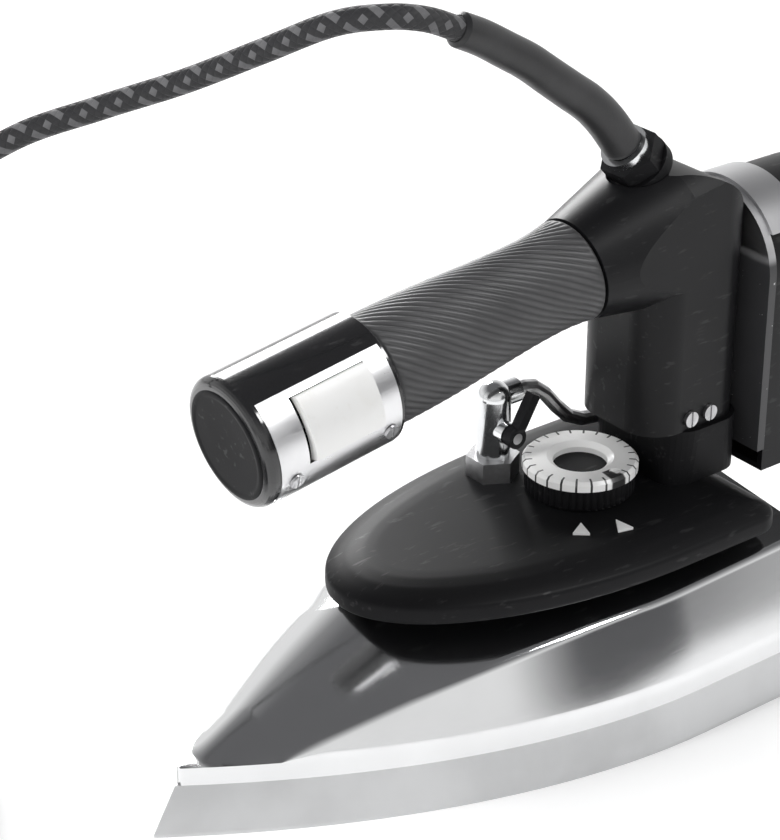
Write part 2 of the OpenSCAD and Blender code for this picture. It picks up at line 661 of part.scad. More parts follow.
module side_plate() {
    color("gainsboro") difference() {
        along_handle() sector(housing_r - plate_t, housing_r + 0.2, plate_from, plate_to, plate_s0, plate_s1);
        side_frame() window(0.4, swing_room, 5, housing_r + 5);
        for (p = plate_screw_pts) plate_place(p) translate([0, 0, -8]) cylinder(r = 1.4, h = 20, $fn = 24);
    }
}
plate_screw_pts = [[112, 9], [112, 42]];
module plate_place(p) { along_handle() rotate([0, p[0], 0]) translate([0, p[1], housing_r]) children(); }
module plate_screws() {
    color("dimgray") for (p = plate_screw_pts) plate_place(p) translate([0, 0, -5]) screw(1.3, 5.3, 2.3, 0.9, $fn = 24);
}
paddle_t = 3;
paddle_proud = 1.8;
module steam_button() {
    color("white") side_frame() difference() {
        union() {
            intersection() {
                window(0, 0, 0, housing_r + 5);
                rotate([-90, 0, 0]) difference() {
                    cylinder(r = housing_r + paddle_proud, h = 60, $fn = 96);
                    translate([0, 0, -1]) cylinder(r = housing_r + paddle_proud - paddle_t, h = 62, $fn = 96);
                }
            }
            translate([pin_out - 2.5, pin_s - 2.5, -4]) cube([housing_r - 1 - pin_out + 2.5, 5, 8]);
            translate([housing_r - 4.5, button_s0 + 4, -2]) cube([4, 18, 4]);
        }
        translate([pin_out, pin_s, 0]) cylinder(r = pin_r + fit, h = 40, center = true, $fn = 24);
    }
}
module button_pin() {
    color("gray") side_frame() translate([pin_out, pin_s, 0]) cylinder(r = pin_r, h = pin_len, center = true, $fn = 24);
}
switch_x = 4;
switch_back = housing_r - wall_t - 0.4;
spring_s = button_s0 + 4.5;
contact_s = pin_s - 12;
spring_base = 8;
module button_spring() {
    color("silver") side_frame() translate([spring_base, spring_s, 0]) rotate([0, 90, 0])
        spring(1.9, 0.3, housing_r - 4.5 - spring_base, 5);
}
module microswitch() {
    color([0.15, 0.15, 0.16]) side_frame() difference() {
        union() {
            translate([-switch_back, contact_s - 4, -3.2]) cube([switch_x + switch_back, 15, 6.4]);
            translate([-switch_back, spring_s - 4, -3.2]) cube([switch_back + spring_base - 0.1, 6, 6.4]);
        }
        translate([switch_x - 4, contact_s, 0]) rotate([0, 90, 0]) cylinder(r = 1.5 + fit, h = 5);
    }
}
module microswitch_plunger() {
    color("firebrick") side_frame() translate([switch_x - 2, contact_s, 0]) rotate([0, 90, 0])
        cylinder(r = 1.5, h = housing_r - 4.5 - switch_x + 2 - gap);
}

// ---------- solenoid valve ----------

cap_len = 14;
bracket_screw_pts = [[-10, post_z + 8], [10, post_z + 8], [0, arch_z + 8]];
module valve_bracket() {
    color("lightgray") difference() {
        union() {
            slab(post_rear_d, bracket_t) arch(valve_w + 1, valve_z + 8, arch_z);
            slab(housing_front_d - eps, cap_len) intersection() {
                difference() {
                    arch(valve_w + 3, valve_z, arch_z);
                    arch(valve_w + 0.2, valve_z - 1, arch_z);
                }
                translate([-valve_w, arch_z + valve_w * 0.28]) square([2 * valve_w, valve_w]);
            }
        }
        for (p = bracket_screw_pts) at(post_rear_d - 1, p[1], p[0]) rotate([-90, 0, 0]) cylinder(r = 1.7, h = 6, $fn = 24);
        at(post_rear_d - 1, pipe_low_z, elbow_x + 5.7) rotate([-90, 0, 0]) cylinder(r = pipe_r + 2.6, h = 6);
    }
}
module valve_housing() {
    color([0.06, 0.06, 0.065]) difference() {
        slab(housing_front_d, valve_d) arch(valve_w, valve_z, arch_z);
        slab(housing_front_d - 1, valve_d - valve_wall + 1) arch(valve_w - 2 * valve_wall, valve_z + valve_wall, arch_z);
        at(housing_rear_d - 6, nipple_z) rotate([-90, 0, 0]) cylinder(r = nipple_neck_r + seat, h = 12);
    }
}
nipple_z = valve_z + 12;
nipple_neck_r = nipple_r - 0.5;
block_top = valve_z + 24;
plunger_r = 5;
core_r = 6.5;
module valve_body() {
    color("goldenrod") difference() {
        translate([-15, y(valve_front_d), valve_z + valve_wall + 1]) cube([30, 22, block_top - valve_z - valve_wall - 1]);
        at(valve_mid_d, block_top - 8) cylinder(r = plunger_r + 1, h = 20);
        at(valve_mid_d + 3, nipple_z) rotate([-90, 0, 0]) cylinder(r = nipple_neck_r, h = 20);
    }
}
coil_top = block_top + 42;
module valve_coil() {
    color("saddlebrown") at(valve_mid_d, block_top + 4) difference() {
        union() {
            cylinder(r = coil_r, h = coil_top - block_top - 4, $fn = 72);
            cylinder(r = coil_r + 1.2, h = 2, $fn = 72);
            translate([0, 0, coil_top - block_top - 6]) cylinder(r = coil_r + 1.2, h = 2, $fn = 72);
        }
        translate([0, 0, -1]) cylinder(r = core_r + seat, h = 60);
    }
}
module core_tube() {
    color("silver") at(valve_mid_d, block_top) difference() {
        union() {
            cylinder(r = core_r + 3, h = 3);
            cylinder(r = core_r, h = coil_top - block_top + 4);
        }
        translate([0, 0, -1]) cylinder(r = plunger_r + fit, h = coil_top - block_top - 8);
    }
}
plunger_len = 26;
plunger_bottom = block_top - 7;
module valve_plunger() {
    color("gray") at(valve_mid_d, plunger_bottom) cylinder(r = plunger_r, h = plunger_len);
}
spring_top = coil_top - 9;
module plunger_spring() {
    z0 = plunger_bottom + plunger_len;
    color("silver") at(valve_mid_d, z0) spring(3.2, 0.5, spring_top - z0, 5);
}
module bracket_screws() {
    color("gray") for (p = bracket_screw_pts) at(post_rear_d - 7, p[1], p[0]) rotate([-90, 0, 0])
        screw(1.6, 7 + bracket_t, 2.8, 1.8, $fn = 24);
}
module water_nipple() {
    color("goldenrod") difference() {
        union() {
            at(valve_mid_d + 3, nipple_z) rotate([-90, 0, 0]) cylinder(r = nipple_neck_r, h = valve_d / 2 - 3);
            at(housing_rear_d, nipple_z) rotate([-90, 0, 0]) cylinder(r = nipple_r, h = nipple_len);
        }
        at(valve_mid_d, nipple_z) rotate([-90, 0, 0]) cylinder(r = nipple_neck_r - 1, h = 60);
    }
}

// ---------- cord gland, cord, coil and plug ----------

gland_d = 183;
gland_z = shoulder_z + 27;
gland_flange_r = 10;
gland_lean = 42;
gland_thread_r = 6;
collar_h = 3;
gland_h = 10;
module gland_place() { at(gland_d, gland_z) rotate([gland_lean, 0, 0]) children(); }
module gland_nut() {
    color([0.05, 0.05, 0.055]) gland_place() difference() {
        union() {
            translate([0, 0, -12]) cylinder(r = gland_thread_r, h = 12);
            cylinder(r = gland_flange_r, h = 4);
            translate([0, 0, 4]) hex(17, gland_h - 4);
        }
        translate([0, 0, -14]) cylinder(r = cord_dia / 2 + 0.2, h = 40);
    }
}
module gland_collar() {
    color("silver") gland_place() translate([0, 0, gland_h]) difference() {
        cylinder(r = 7.5, h = collar_h);
        translate([0, 0, -1]) cylinder(r = cord_dia / 2 + 0.2, h = 10);
    }
}
gland_top = gland_h + collar_h;
gland_axis = [0, -sin(gland_lean), cos(gland_lean)];
gland_seat = [0, gland_d, gland_z];
// Route of the strain relief and of the cord: distance back from the tip, not y
relief_route = [[0, 167, 184], [0, 160, 191], [0, 152, 197], [0, 144, 203], [0, 136, 209], [0, 128, 214],
    [0, 119, 219.5], [0, 110, 224]];
cord_route = [[0, 110, 224], [0, 107, 225.5], [-2, 100.3, 228.2], [-6.9, 90.4, 229.5], [-16.9, 80, 226.9],
    [-33.8, 68.3, 217], [-53.6, 55.1, 205.5], [-72, 38, 196], [-87, 18, 187], [-101, -2, 171], [-111, -20, 148],
    [-117, -38, 120], [-120, -55, 91], [-121, -73, 63], [-119, -91, 38], [-112, -107.5, 19], [-99, -120, 8.5],
    [-84, -126.6, 4.9]];
coil_x = -60;
coil_d = -84.8;
tail_route = [[-90, -47.8, 17.5], [-98, -50.4, 16.2], [-105, -52.7, 14.7], [-111.5, -54.9, 13.7], [-118.6, -58.7, 13.2],
    [-125.8, -65.9, 13], [-130.4, -74.9, 13], [-132, -84.9, 13], [-132, -86, 13]];
coil_h = 22.5;
function placed(route) = [for (p = route) [p[0], y(p[1]), p[2]]];
module strain_relief() {
    color([0.06, 0.06, 0.065]) sweep(placed(concat(
        [gland_seat + gland_top * gland_axis, gland_seat + (gland_top + 3) * gland_axis], relief_route)), 6.2, 5.2, 12);
}
module power_cord() { color([0.12, 0.12, 0.12]) sweep(placed(cord_route), cord_dia / 2, cord_dia / 2, 8); }
module cord_coil() {
    color([0.12, 0.12, 0.12]) at(coil_d, 0, coil_x) rotate_extrude($fn = 48)
        translate([coil_mean_dia / 2 - 1.5 * cord_dia, 0]) square([3 * cord_dia, coil_h]);
}
module cord_tail() { color([0.12, 0.12, 0.12]) sweep(placed(tail_route), cord_dia / 2, cord_dia / 2, 8); }
tie_w = 6;
tie_t = 1.2;
module cord_tie() {
    half = 1.5 * cord_dia + 0.4;
    color([0.05, 0.05, 0.05]) at(coil_d - tie_w / 2, 0, coil_x + coil_mean_dia / 2) difference() {
        translate([-half - tie_t, 0, 0]) cube([2 * (half + tie_t), tie_w, coil_h + tie_t]);
        translate([-half, -1, -1]) cube([2 * half, tie_w + 2, coil_h + 1.1]);
    }
}
plug_len = 36;
plug_r = 13;
plug_x = -132;
plug_d = -86;
pin_pitch = 9.5;
module plug_place() { at(plug_d, plug_r, plug_x) rotate([90, 0, 0]) children(); }
module plug_body() {
    color([0.06, 0.06, 0.06]) plug_place() difference() {
        union() {
            cylinder(r = 8, h = plug_len - 8);
            translate([0, 0, 6]) cylinder(r = plug_r, h = plug_len - 12);
        }
        for (s = [-1, 1]) translate([pin_pitch * s, 0, plug_len - 12]) cylinder(r = 2.4, h = 20);
    }
}
module plug_pins() {
    color("silver") plug_place() for (s = [-1, 1]) translate([pin_pitch * s, 0, plug_len - 12]) cylinder(r = 2.4, h = 25);
}

soleplate();
heating_element();
chamber_gasket();
chamber_lid();
lid_screws();
steam_inlet_tube();
frame_pillars();
frame_studs();
stud_nuts();
body_shell();
heat_shield();
top_cover();
handle_pedestal();
thermostat_body();
thermostat_screws();
thermal_fuse();
terminal_block();
dial_shaft();
dial_knob();
dial_ring();
dial_pointers();
union_elbow();
union_nut();
feed_pipe();
regulator_needle();
regulator_lever();
handle_post();
foot_screws();
handle_tube();
handle_grip();
switch_housing();
side_plate();
plate_screws();
steam_button();
button_pin();
button_spring();
microswitch();
microswitch_plunger();
valve_bracket();
valve_housing();
valve_body();
valve_coil();
core_tube();
valve_plunger();
plunger_spring();
bracket_screws();
water_nipple();
gland_nut();
gland_collar();
strain_relief();
power_cord();
cord_coil();
cord_tail();
cord_tie();
plug_body();
plug_pins();
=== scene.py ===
import json
import math

import bpy
import numpy as np
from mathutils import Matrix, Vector


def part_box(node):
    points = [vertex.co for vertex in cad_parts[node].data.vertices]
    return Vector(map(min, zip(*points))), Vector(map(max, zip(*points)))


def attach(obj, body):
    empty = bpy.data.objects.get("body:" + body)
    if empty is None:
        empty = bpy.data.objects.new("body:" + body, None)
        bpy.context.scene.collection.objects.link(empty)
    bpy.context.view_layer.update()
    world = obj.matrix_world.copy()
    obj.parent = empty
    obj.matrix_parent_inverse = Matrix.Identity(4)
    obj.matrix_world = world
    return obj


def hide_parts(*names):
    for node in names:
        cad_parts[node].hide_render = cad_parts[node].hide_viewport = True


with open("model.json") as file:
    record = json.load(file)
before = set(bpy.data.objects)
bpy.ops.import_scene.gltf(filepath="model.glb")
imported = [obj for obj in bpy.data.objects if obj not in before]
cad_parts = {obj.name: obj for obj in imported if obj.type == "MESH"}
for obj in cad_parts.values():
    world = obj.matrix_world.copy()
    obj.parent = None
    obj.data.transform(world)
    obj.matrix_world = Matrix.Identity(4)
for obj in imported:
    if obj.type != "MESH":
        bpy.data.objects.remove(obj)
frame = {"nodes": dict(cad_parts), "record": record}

bl_info = {
    "name": "Gravity-feed steam iron",
    "version": (1, 0, 0),
    "blender": (4, 5, 0),
    "location": "View3D > Sidebar > Steam iron",
    "description": "Builds the finished look of a steam iron round its packed frame",
    "category": "Object",
}

SLOTS = {part["node"]: part["material_slot"] for part in frame["record"]["subparts"]}
TINTS = {m["slot"]: tuple(m["base_color"][:3]) for m in frame["record"]["materials"]}
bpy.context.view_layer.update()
MM = 0.001
TIP_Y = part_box("soleplate")[0][1]
DIAL = [(low + high) / 2 for low, high in zip(*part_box("dial_ring"))]


def back(distance):
    """Shared-frame y, in metres, of a place that many millimetres back from the tip."""
    return TIP_Y + distance * MM


# ---------------------------------------------------------------- settings


def size(name, text, value, low, high):
    """A length in metres."""
    return bpy.props.FloatProperty(name=name, description=text, default=value, min=low, max=high,
                                   unit="LENGTH", precision=4)


def tint(name, text, value):
    """A colour."""
    return bpy.props.FloatVectorProperty(name=name, description=text, default=value, min=0, max=1,
                                         size=3, subtype="COLOR")


def plain(name, text, value, low, high):
    """A number with no unit."""
    return bpy.props.FloatProperty(name=name, description=text, default=value, min=low, max=high)


def count(name, text, value, low, high):
    """A whole number."""
    return bpy.props.IntProperty(name=name, description=text, default=value, min=low, max=high)


class CordSettings(bpy.types.PropertyGroup):
    """Sizes and colours of the supply cord."""
    diameter: size("Diameter", "Diameter of the braided cord", 0.0073, 0.005, 0.009)
    sides: count("Sides", "Faces round the cord", 14, 8, 32)
    braid_pitch: size("Braid pitch", "Length of one braid diamond", 0.0028, 0.001, 0.01)
    braid_dark: tint("Dark thread", "Colour of most of the threads", (0.022, 0.022, 0.024))
    braid_light: tint("Light thread", "Colour of the fleck threads", (0.13, 0.13, 0.135))


class HandleSettings(bpy.types.PropertyGroup):
    """Sizes and colours of the grip."""
    rib_count: count("Ribs", "Ribs round the grip", 40, 12, 80)
    rib_depth: size("Rib depth", "Depth of the grooves between the ribs", 0.0004, 0, 0.001)
    rib_twist: plain("Rib twist", "Turns that a rib makes along the grip", 0.55, 0, 2)
    colour: tint("Grip colour", "Colour of the grip sleeve", TINTS["grip_rubber"])


class BodySettings(bpy.types.PropertyGroup):
    """Sizes of the shell, the cover and the dial."""
    ridge_radius: size("Ridge radius", "Rounding of the folds in the shell", 0.0022, 0.0005, 0.005)
    cover_colour: tint("Cover colour", "Colour of the moulded cover", (0.009, 0.009, 0.010))
    chrome_wave: plain("Chrome waviness", "How uneven the pressed chrome sheet is", 0.10, 0, 1)
    knurls: count("Dial knurls", "Grooves round the dial", 48, 12, 90)


class StageSettings(bpy.types.PropertyGroup):
    """Floor, lights and camera."""
    floor: tint("Floor colour", "Colour of the table", (0.9, 0.9, 0.9))
    key: plain("Key light", "Power of the key light, in watts", 17.0, 0, 100)
    fill: plain("Fill light", "Power of the fill light, in watts", 5.0, 0, 100)
    strip: plain("Strip lights", "Power of the strips that only show as highlights, in watts", 6.0, 0, 100)


# ---------------------------------------------------------------- shader formulas


class Signal:
    """A shader socket in a formula: each operator on it adds the Math node that works it out."""

    def __init__(self, finish, socket):
        self.finish, self.socket = finish, socket

    def math(self, operation, *values):
        return self.finish.node("ShaderNodeMath", values, operation=operation)

    def __add__(self, other): return self.math("ADD", self, other)
    def __sub__(self, other): return self.math("SUBTRACT", self, other)
    def __rsub__(self, other): return self.math("SUBTRACT", other, self)
    def __mul__(self, other): return self.math("MULTIPLY", self, other)
    def __truediv__(self, other): return self.math("DIVIDE", self, other)
    def __gt__(self, other): return self.math("GREATER_THAN", self, other)
    def __lt__(self, other): return self.math("LESS_THAN", self, other)
    def __pow__(self, other): return self.math("POWER", self, other)
    def __abs__(self): return self.math("ABSOLUTE", self)
    __radd__, __rmul__ = __add__, __mul__

    def sine(self): return self.math("SINE", self)
    def cosine(self): return self.math("COSINE", self)
    def floor(self): return self.math("FLOOR", self)
    def over(self, other): return self.math("MAXIMUM", self, other)

    def band(self, low, high, start=0.0, end=1.0):
        """Smooth step from start at low to end at high."""
        return self.finish.node("ShaderNodeMapRange", [self, low, high, start, end],
                                interpolation_type="SMOOTHSTEP")


class Finish:
    """A material: its own node tree with one Principled shader, and the formulas that feed it."""

    def __init__(self, name, colour, roughness, metallic=0.0, **fixed):
        self.material = bpy.data.materials.new(name)
        self.material.use_nodes = True
        self.tree = self.material.node_tree
        self.tree.nodes.clear()
        self.shader = self.tree.nodes.new("ShaderNodeBsdfPrincipled")
        output = self.tree.nodes.new("ShaderNodeOutputMaterial")
        self.tree.links.new(self.shader.outputs[0], output.inputs[0])
        self.material.diffuse_color = (*colour, 1.0)
        self.put("Base Color", (*colour, 1.0))
        self.put("Roughness", roughness)
        self.put("Metallic", metallic)
        for socket, value in fixed.items():
            self.put(socket.replace("_", " "), value)

    def put(self, socket, value):
        """Sets or links one socket of the shader."""
        if isinstance(value, Signal):
            self.tree.links.new(value.socket, self.shader.inputs[socket])
        else:
            self.shader.inputs[socket].default_value = value

    def node(self, kind, values=(), out=0, **settings):
        """Any node: its settings first, then its sockets' values or links."""
        made = self.tree.nodes.new(kind)
        for key, value in settings.items():
            setattr(made, key, value)
        for key, value in (values.items() if isinstance(values, dict) else enumerate(values)):
            if isinstance(value, Signal):
                self.tree.links.new(value.socket, made.inputs[key])
            else:
                made.inputs[key].default_value = value
        return Signal(self, made.outputs[out])

    def split(self, at):
        """The three parts of a vector."""
        parts = self.node("ShaderNodeSeparateXYZ", [at]).socket.node.outputs
        return [Signal(self, part) for part in parts]

    def place(self, stretch=(1, 1, 1), turn=(0, 0, 0)):
        """The object's own coordinates, turned and stretched."""
        at = self.node("ShaderNodeTexCoord", out="Object")
        return self.node("ShaderNodeMapping", {"Vector": at, "Scale": stretch, "Rotation": turn})

    def noise(self, scale, detail=3.0, stretch=(1, 1, 1), turn=(0, 0, 0), rough=0.55):
        """Noise with about scale features to the metre."""
        return self.node("ShaderNodeTexNoise", {"Vector": self.place(stretch, turn), "Scale": scale,
                                                "Detail": detail, "Roughness": rough})

    def mix(self, factor, first, second):
        """Colour between two colours."""
        rgba = [v if isinstance(v, Signal) else (*v, 1.0) for v in (first, second)]
        return self.node("ShaderNodeMix", {0: factor, 6: rgba[0], 7: rgba[1]}, out=2, data_type="RGBA")

    def bump(self, height, strength, distance):
        """Feeds the shader's normal from a height."""
        self.put("Normal", self.node("ShaderNodeBump", {"Strength": strength, "Distance": distance,
                                                        "Height": height}))


def shade(colour, factor):
    """A lighter or darker copy of a colour."""
    return tuple(min(1.0, c * factor) for c in colour)


def polished_metal(name, colour, roughness, wave=0.05, lines=(1, 0.06, 1), line_scale=900, worn=1.0):
    """Metal with fine polishing lines, soft smudges and a slightly uneven sheet."""
    f = Finish(name, colour, roughness, 1.0)
    line = f.noise(line_scale, 2, lines)
    smudge = f.noise(28, 4)
    scratch = f.noise(line_scale * 1.7, 1, (lines[0], lines[1] * 0.4, lines[2])).band(0.66, 0.72)
    f.put("Roughness", roughness + smudge.band(0.45, 0.75) * (roughness * 0.7) + line * (roughness * 0.4)
          + scratch * (0.06 * worn))
    f.put("Base Color", f.mix(smudge.band(0.35, 0.8), colour, shade(colour, 0.93)))
    f.bump(f.noise(22, 1) * (6 * wave) + line * (0.05 * worn) - scratch * (0.04 * worn), 0.25, 0.0006)
    return f.material


def plated_metal(name, colour, roughness=0.28):
    """Zinc or nickel plate: a crystalline mottle with small dull spots."""
    f = Finish(name, colour, roughness, 1.0)
    cell = f.node("ShaderNodeTexVoronoi", {"Vector": f.place(), "Scale": 900.0})
    cloud = f.noise(180, 4)
    spot = f.noise(500, 3).band(0.62, 0.74)
    f.put("Base Color", f.mix(cloud.band(0.3, 0.75), colour, shade(colour, 0.74)))
    f.put("Roughness", roughness + cloud * 0.12 + spot * 0.2)
    f.bump(cell * 0.3 + cloud * 0.4 - spot * 0.5, 0.22, 0.0002)
    return f.material


def turned_metal(name, colour, roughness=0.2):
    """Brass or copper with fine tool lines and a darker tarnish in patches."""
    f = Finish(name, colour, roughness, 1.0)
    line = f.noise(700, 2, (0.1, 1, 1))
    tarnish = f.noise(90, 4).band(0.42, 0.72)
    f.put("Base Color", f.mix(tarnish, colour, tuple(c * k for c, k in zip(colour, (0.62, 0.5, 0.42)))))
    f.put("Roughness", roughness + tarnish * 0.18 + line * 0.1)
    f.bump(line * 0.6 + tarnish * 0.2, 0.2, 0.0002)
    return f.material


def moulded_resin(name, colour, roughness, grain=0.3, grain_scale=2600, coat=0.0, gloss=0.5):
    """Moulded plastic: a fine spark-eroded grain, faint flow marks, dust and rub marks."""
    f = Finish(name, colour, roughness, 0.0, IOR=1.5, Coat_Roughness=0.08, Specular_IOR_Level=gloss)
    skin = f.noise(grain_scale, 2)
    flow = f.noise(36, 3, (1, 0.5, 1))
    rub = f.noise(420, 3, (1, 0.25, 1)).band(0.6, 0.72)
    dust = f.noise(5200, 1).band(0.72, 0.8)
    pale = tuple(c * 0.8 + 0.045 for c in colour)
    body = f.mix(flow.band(0.3, 0.7), colour, shade(colour, 0.78))
    f.put("Base Color", f.mix(rub * 0.35 + dust * 0.35, body, pale))
    f.put("Roughness", roughness + flow * 0.08 - rub * (roughness * 0.25) + dust * 0.2)
    if coat:
        f.put("Coat Weight", coat - rub * (coat * 0.4))
    f.bump(skin * grain + flow * 0.2 - rub * 0.1, 0.35, 0.00012)
    return f.material


def pale_resin(name, colour, roughness=0.28):
    """White moulded plastic, a little yellowed and marked by fingers."""
    f = Finish(name, colour, roughness)
    cloud = f.noise(60, 4)
    mark = f.noise(300, 4).band(0.6, 0.78)
    f.put("Base Color", f.mix(mark * 0.35 + cloud.band(0.45, 0.8) * 0.3, colour,
                              tuple(c * k for c, k in zip(colour, (0.82, 0.8, 0.74)))))
    f.put("Roughness", roughness + cloud * 0.1 + mark * 0.15)
    f.bump(f.noise(2400, 2) * 0.2 + cloud * 0.2, 0.2, 0.0001)
    return f.material


def printed_face(name, colour, centre):
    """White printed plastic with a scale: marks where the cosine of 24 times the angle round centre is
    near 1, outside a ring, and one broad mark that shows how the dial is set."""
    f = Finish(name, colour, 0.3)
    across, along, _ = f.split(f.place())
    x, y = across - centre[0], along - centre[1]
    angle = x.math("ARCTAN2", y, x)
    far = (x * x + y * y) ** 0.5
    tick = (angle * 24.0).cosine().band(0.86, 0.93) * far.band(0.0152, 0.0154)
    long = angle.cosine().band(0.985, 0.992) * far.band(0.0122, 0.0124)
    tick, long = tick * (far < 0.019), long * (far < 0.019)
    wear = f.noise(260, 4).band(0.55, 0.8)
    f.put("Base Color", f.mix(tick.over(long) * (1.0 - wear * 0.5),
                              f.mix(wear * 0.35, colour, shade(colour, 0.84)), (0.03, 0.03, 0.03)))
    f.put("Roughness", 0.28 + wear * 0.15)
    f.bump(f.noise(1800, 2) - tick.over(long) * 0.5, 0.15, 0.0001)
    return f.material


def soft_rubber(name, colour, roughness=0.55):
    """Black rubber: dull, with a pebbled skin and a grey bloom."""
    f = Finish(name, colour, roughness, 0.0, Sheen_Weight=0.12, Sheen_Roughness=0.4)
    pebble = f.noise(1500, 3)
    bloom = f.noise(70, 4).band(0.4, 0.8)
    f.put("Base Color", f.mix(bloom * 0.6, colour, tuple(c * 1.5 + 0.02 for c in colour)))
    f.put("Roughness", roughness + bloom * 0.12 + pebble * 0.08)
    f.bump(pebble, 0.3, 0.00015)
    return f.material


def painted_sheet(name, colour, crown=10.0):
    """Sprayed sheet metal with orange peel and chips that show bare metal. Above the height crown the sheet
    is drawn as pale bare metal, a painted highlight for the light its top catches.
    """
    f = Finish(name, colour, 0.38, 0.0)
    up = f.split(f.place())[2]
    # painted highlight: everything above the height crown gets the pale metal colour, so the top reads as lit
    # from above
    painted_lit_top = (up + f.noise(60, 2) * 0.004).band(crown, crown + 0.004)
    peel = f.noise(800, 2)
    cloud = f.noise(50, 4)
    # real paint chips, together with the painted lighter top
    chips_and_painted_lit_top = f.noise(520, 5).band(0.7, 0.73).over(painted_lit_top)
    paint = f.mix(cloud.band(0.3, 0.8), colour, shade(colour, 0.85))
    f.put("Base Color", f.mix(chips_and_painted_lit_top, paint, (0.62, 0.62, 0.63)))
    f.put("Metallic", chips_and_painted_lit_top)
    f.put("Roughness", 0.34 + cloud * 0.1 - chips_and_painted_lit_top * 0.08)
    f.bump(peel * 0.4 - chips_and_painted_lit_top * 0.8, 0.25, 0.0002)
    return f.material


def fired_ceramic(name, colour):
    """Glazed white ceramic with fine specks."""
    f = Finish(name, colour, 0.3)
    speck = f.noise(1900, 2).band(0.68, 0.76)
    f.put("Base Color", f.mix(speck, colour, (0.3, 0.26, 0.2)))
    f.put("Roughness", 0.22 + f.noise(300, 3) * 0.2)
    f.bump(f.noise(600, 3), 0.2, 0.0002)
    return f.material


def braided_thread(name, dark, light, pitch, strands):
    """Braid on the cord's own map, u metres along and v turns round: two families of threads cross at
    a = u/pitch + strands v and b = u/pitch - strands v, |sin pi a sin pi b| is the height of a crossing,
    its sign says which family is on top, and every fourth thread is light."""
    f = Finish(name, dark, 0.62, 0.0, Sheen_Weight=0.25, Sheen_Roughness=0.35)
    at = f.node("ShaderNodeUVMap", uv_map="Braid")
    u, v, _ = f.split(at)
    along, around = u * (1.0 / pitch), v * float(strands)
    a, b = along + around, along - around
    cross = (a * math.pi).sine() * (b * math.pi).sine()

    def fleck(x):
        i = x.floor()
        return 1.0 - ((i - (i / 4.0).floor() * 4.0) > 0.5)

    top = cross > 0.0
    light_thread = fleck(a) * top + fleck(b + 2.0) * (1.0 - top)
    fibre = f.noise(3800, 2)
    wear = f.noise(120, 3)
    crown = abs(cross) ** 0.5
    f.put("Base Color", f.mix(light_thread * (0.75 + wear * 0.3), dark, light))
    f.put("Roughness", 0.5 + fibre * 0.25)
    f.bump(crown * 0.8 + fibre * 0.25, 0.7, 0.0004)
    return f.material


def ribbed_skin(name, colour):
    """Grip rubber: painted shade darkens the grooves to a darker copy of the colour, and the ribs, which the
    Rib attribute marks, get a paler copy, partly a painted highlight and partly rubbed wear where worn, and
    are rubbed shiny.
    """
    f = Finish(name, colour, 0.42, 0.0, Sheen_Weight=0.05)
    rib = f.node("ShaderNodeAttribute", out="Fac", attribute_name="Rib")
    worn = f.noise(60, 4).band(0.35, 0.75)
    pebble = f.noise(2600, 2)
    rib_highlight_and_wear = tuple(c * 1.8 + 0.015 for c in colour)
    # painted shade in the grooves (0.7 of the colour) and a painted highlight on the ribs, paler still where
    # the worn noise is high
    f.put("Base Color", f.mix(rib * (0.4 + worn * 0.5), shade(colour, 0.7), rib_highlight_and_wear))
    f.put("Roughness", 0.46 - rib * 0.1 + worn * 0.06 + pebble * 0.06)
    f.bump(pebble, 0.2, 0.0001)
    return f.material


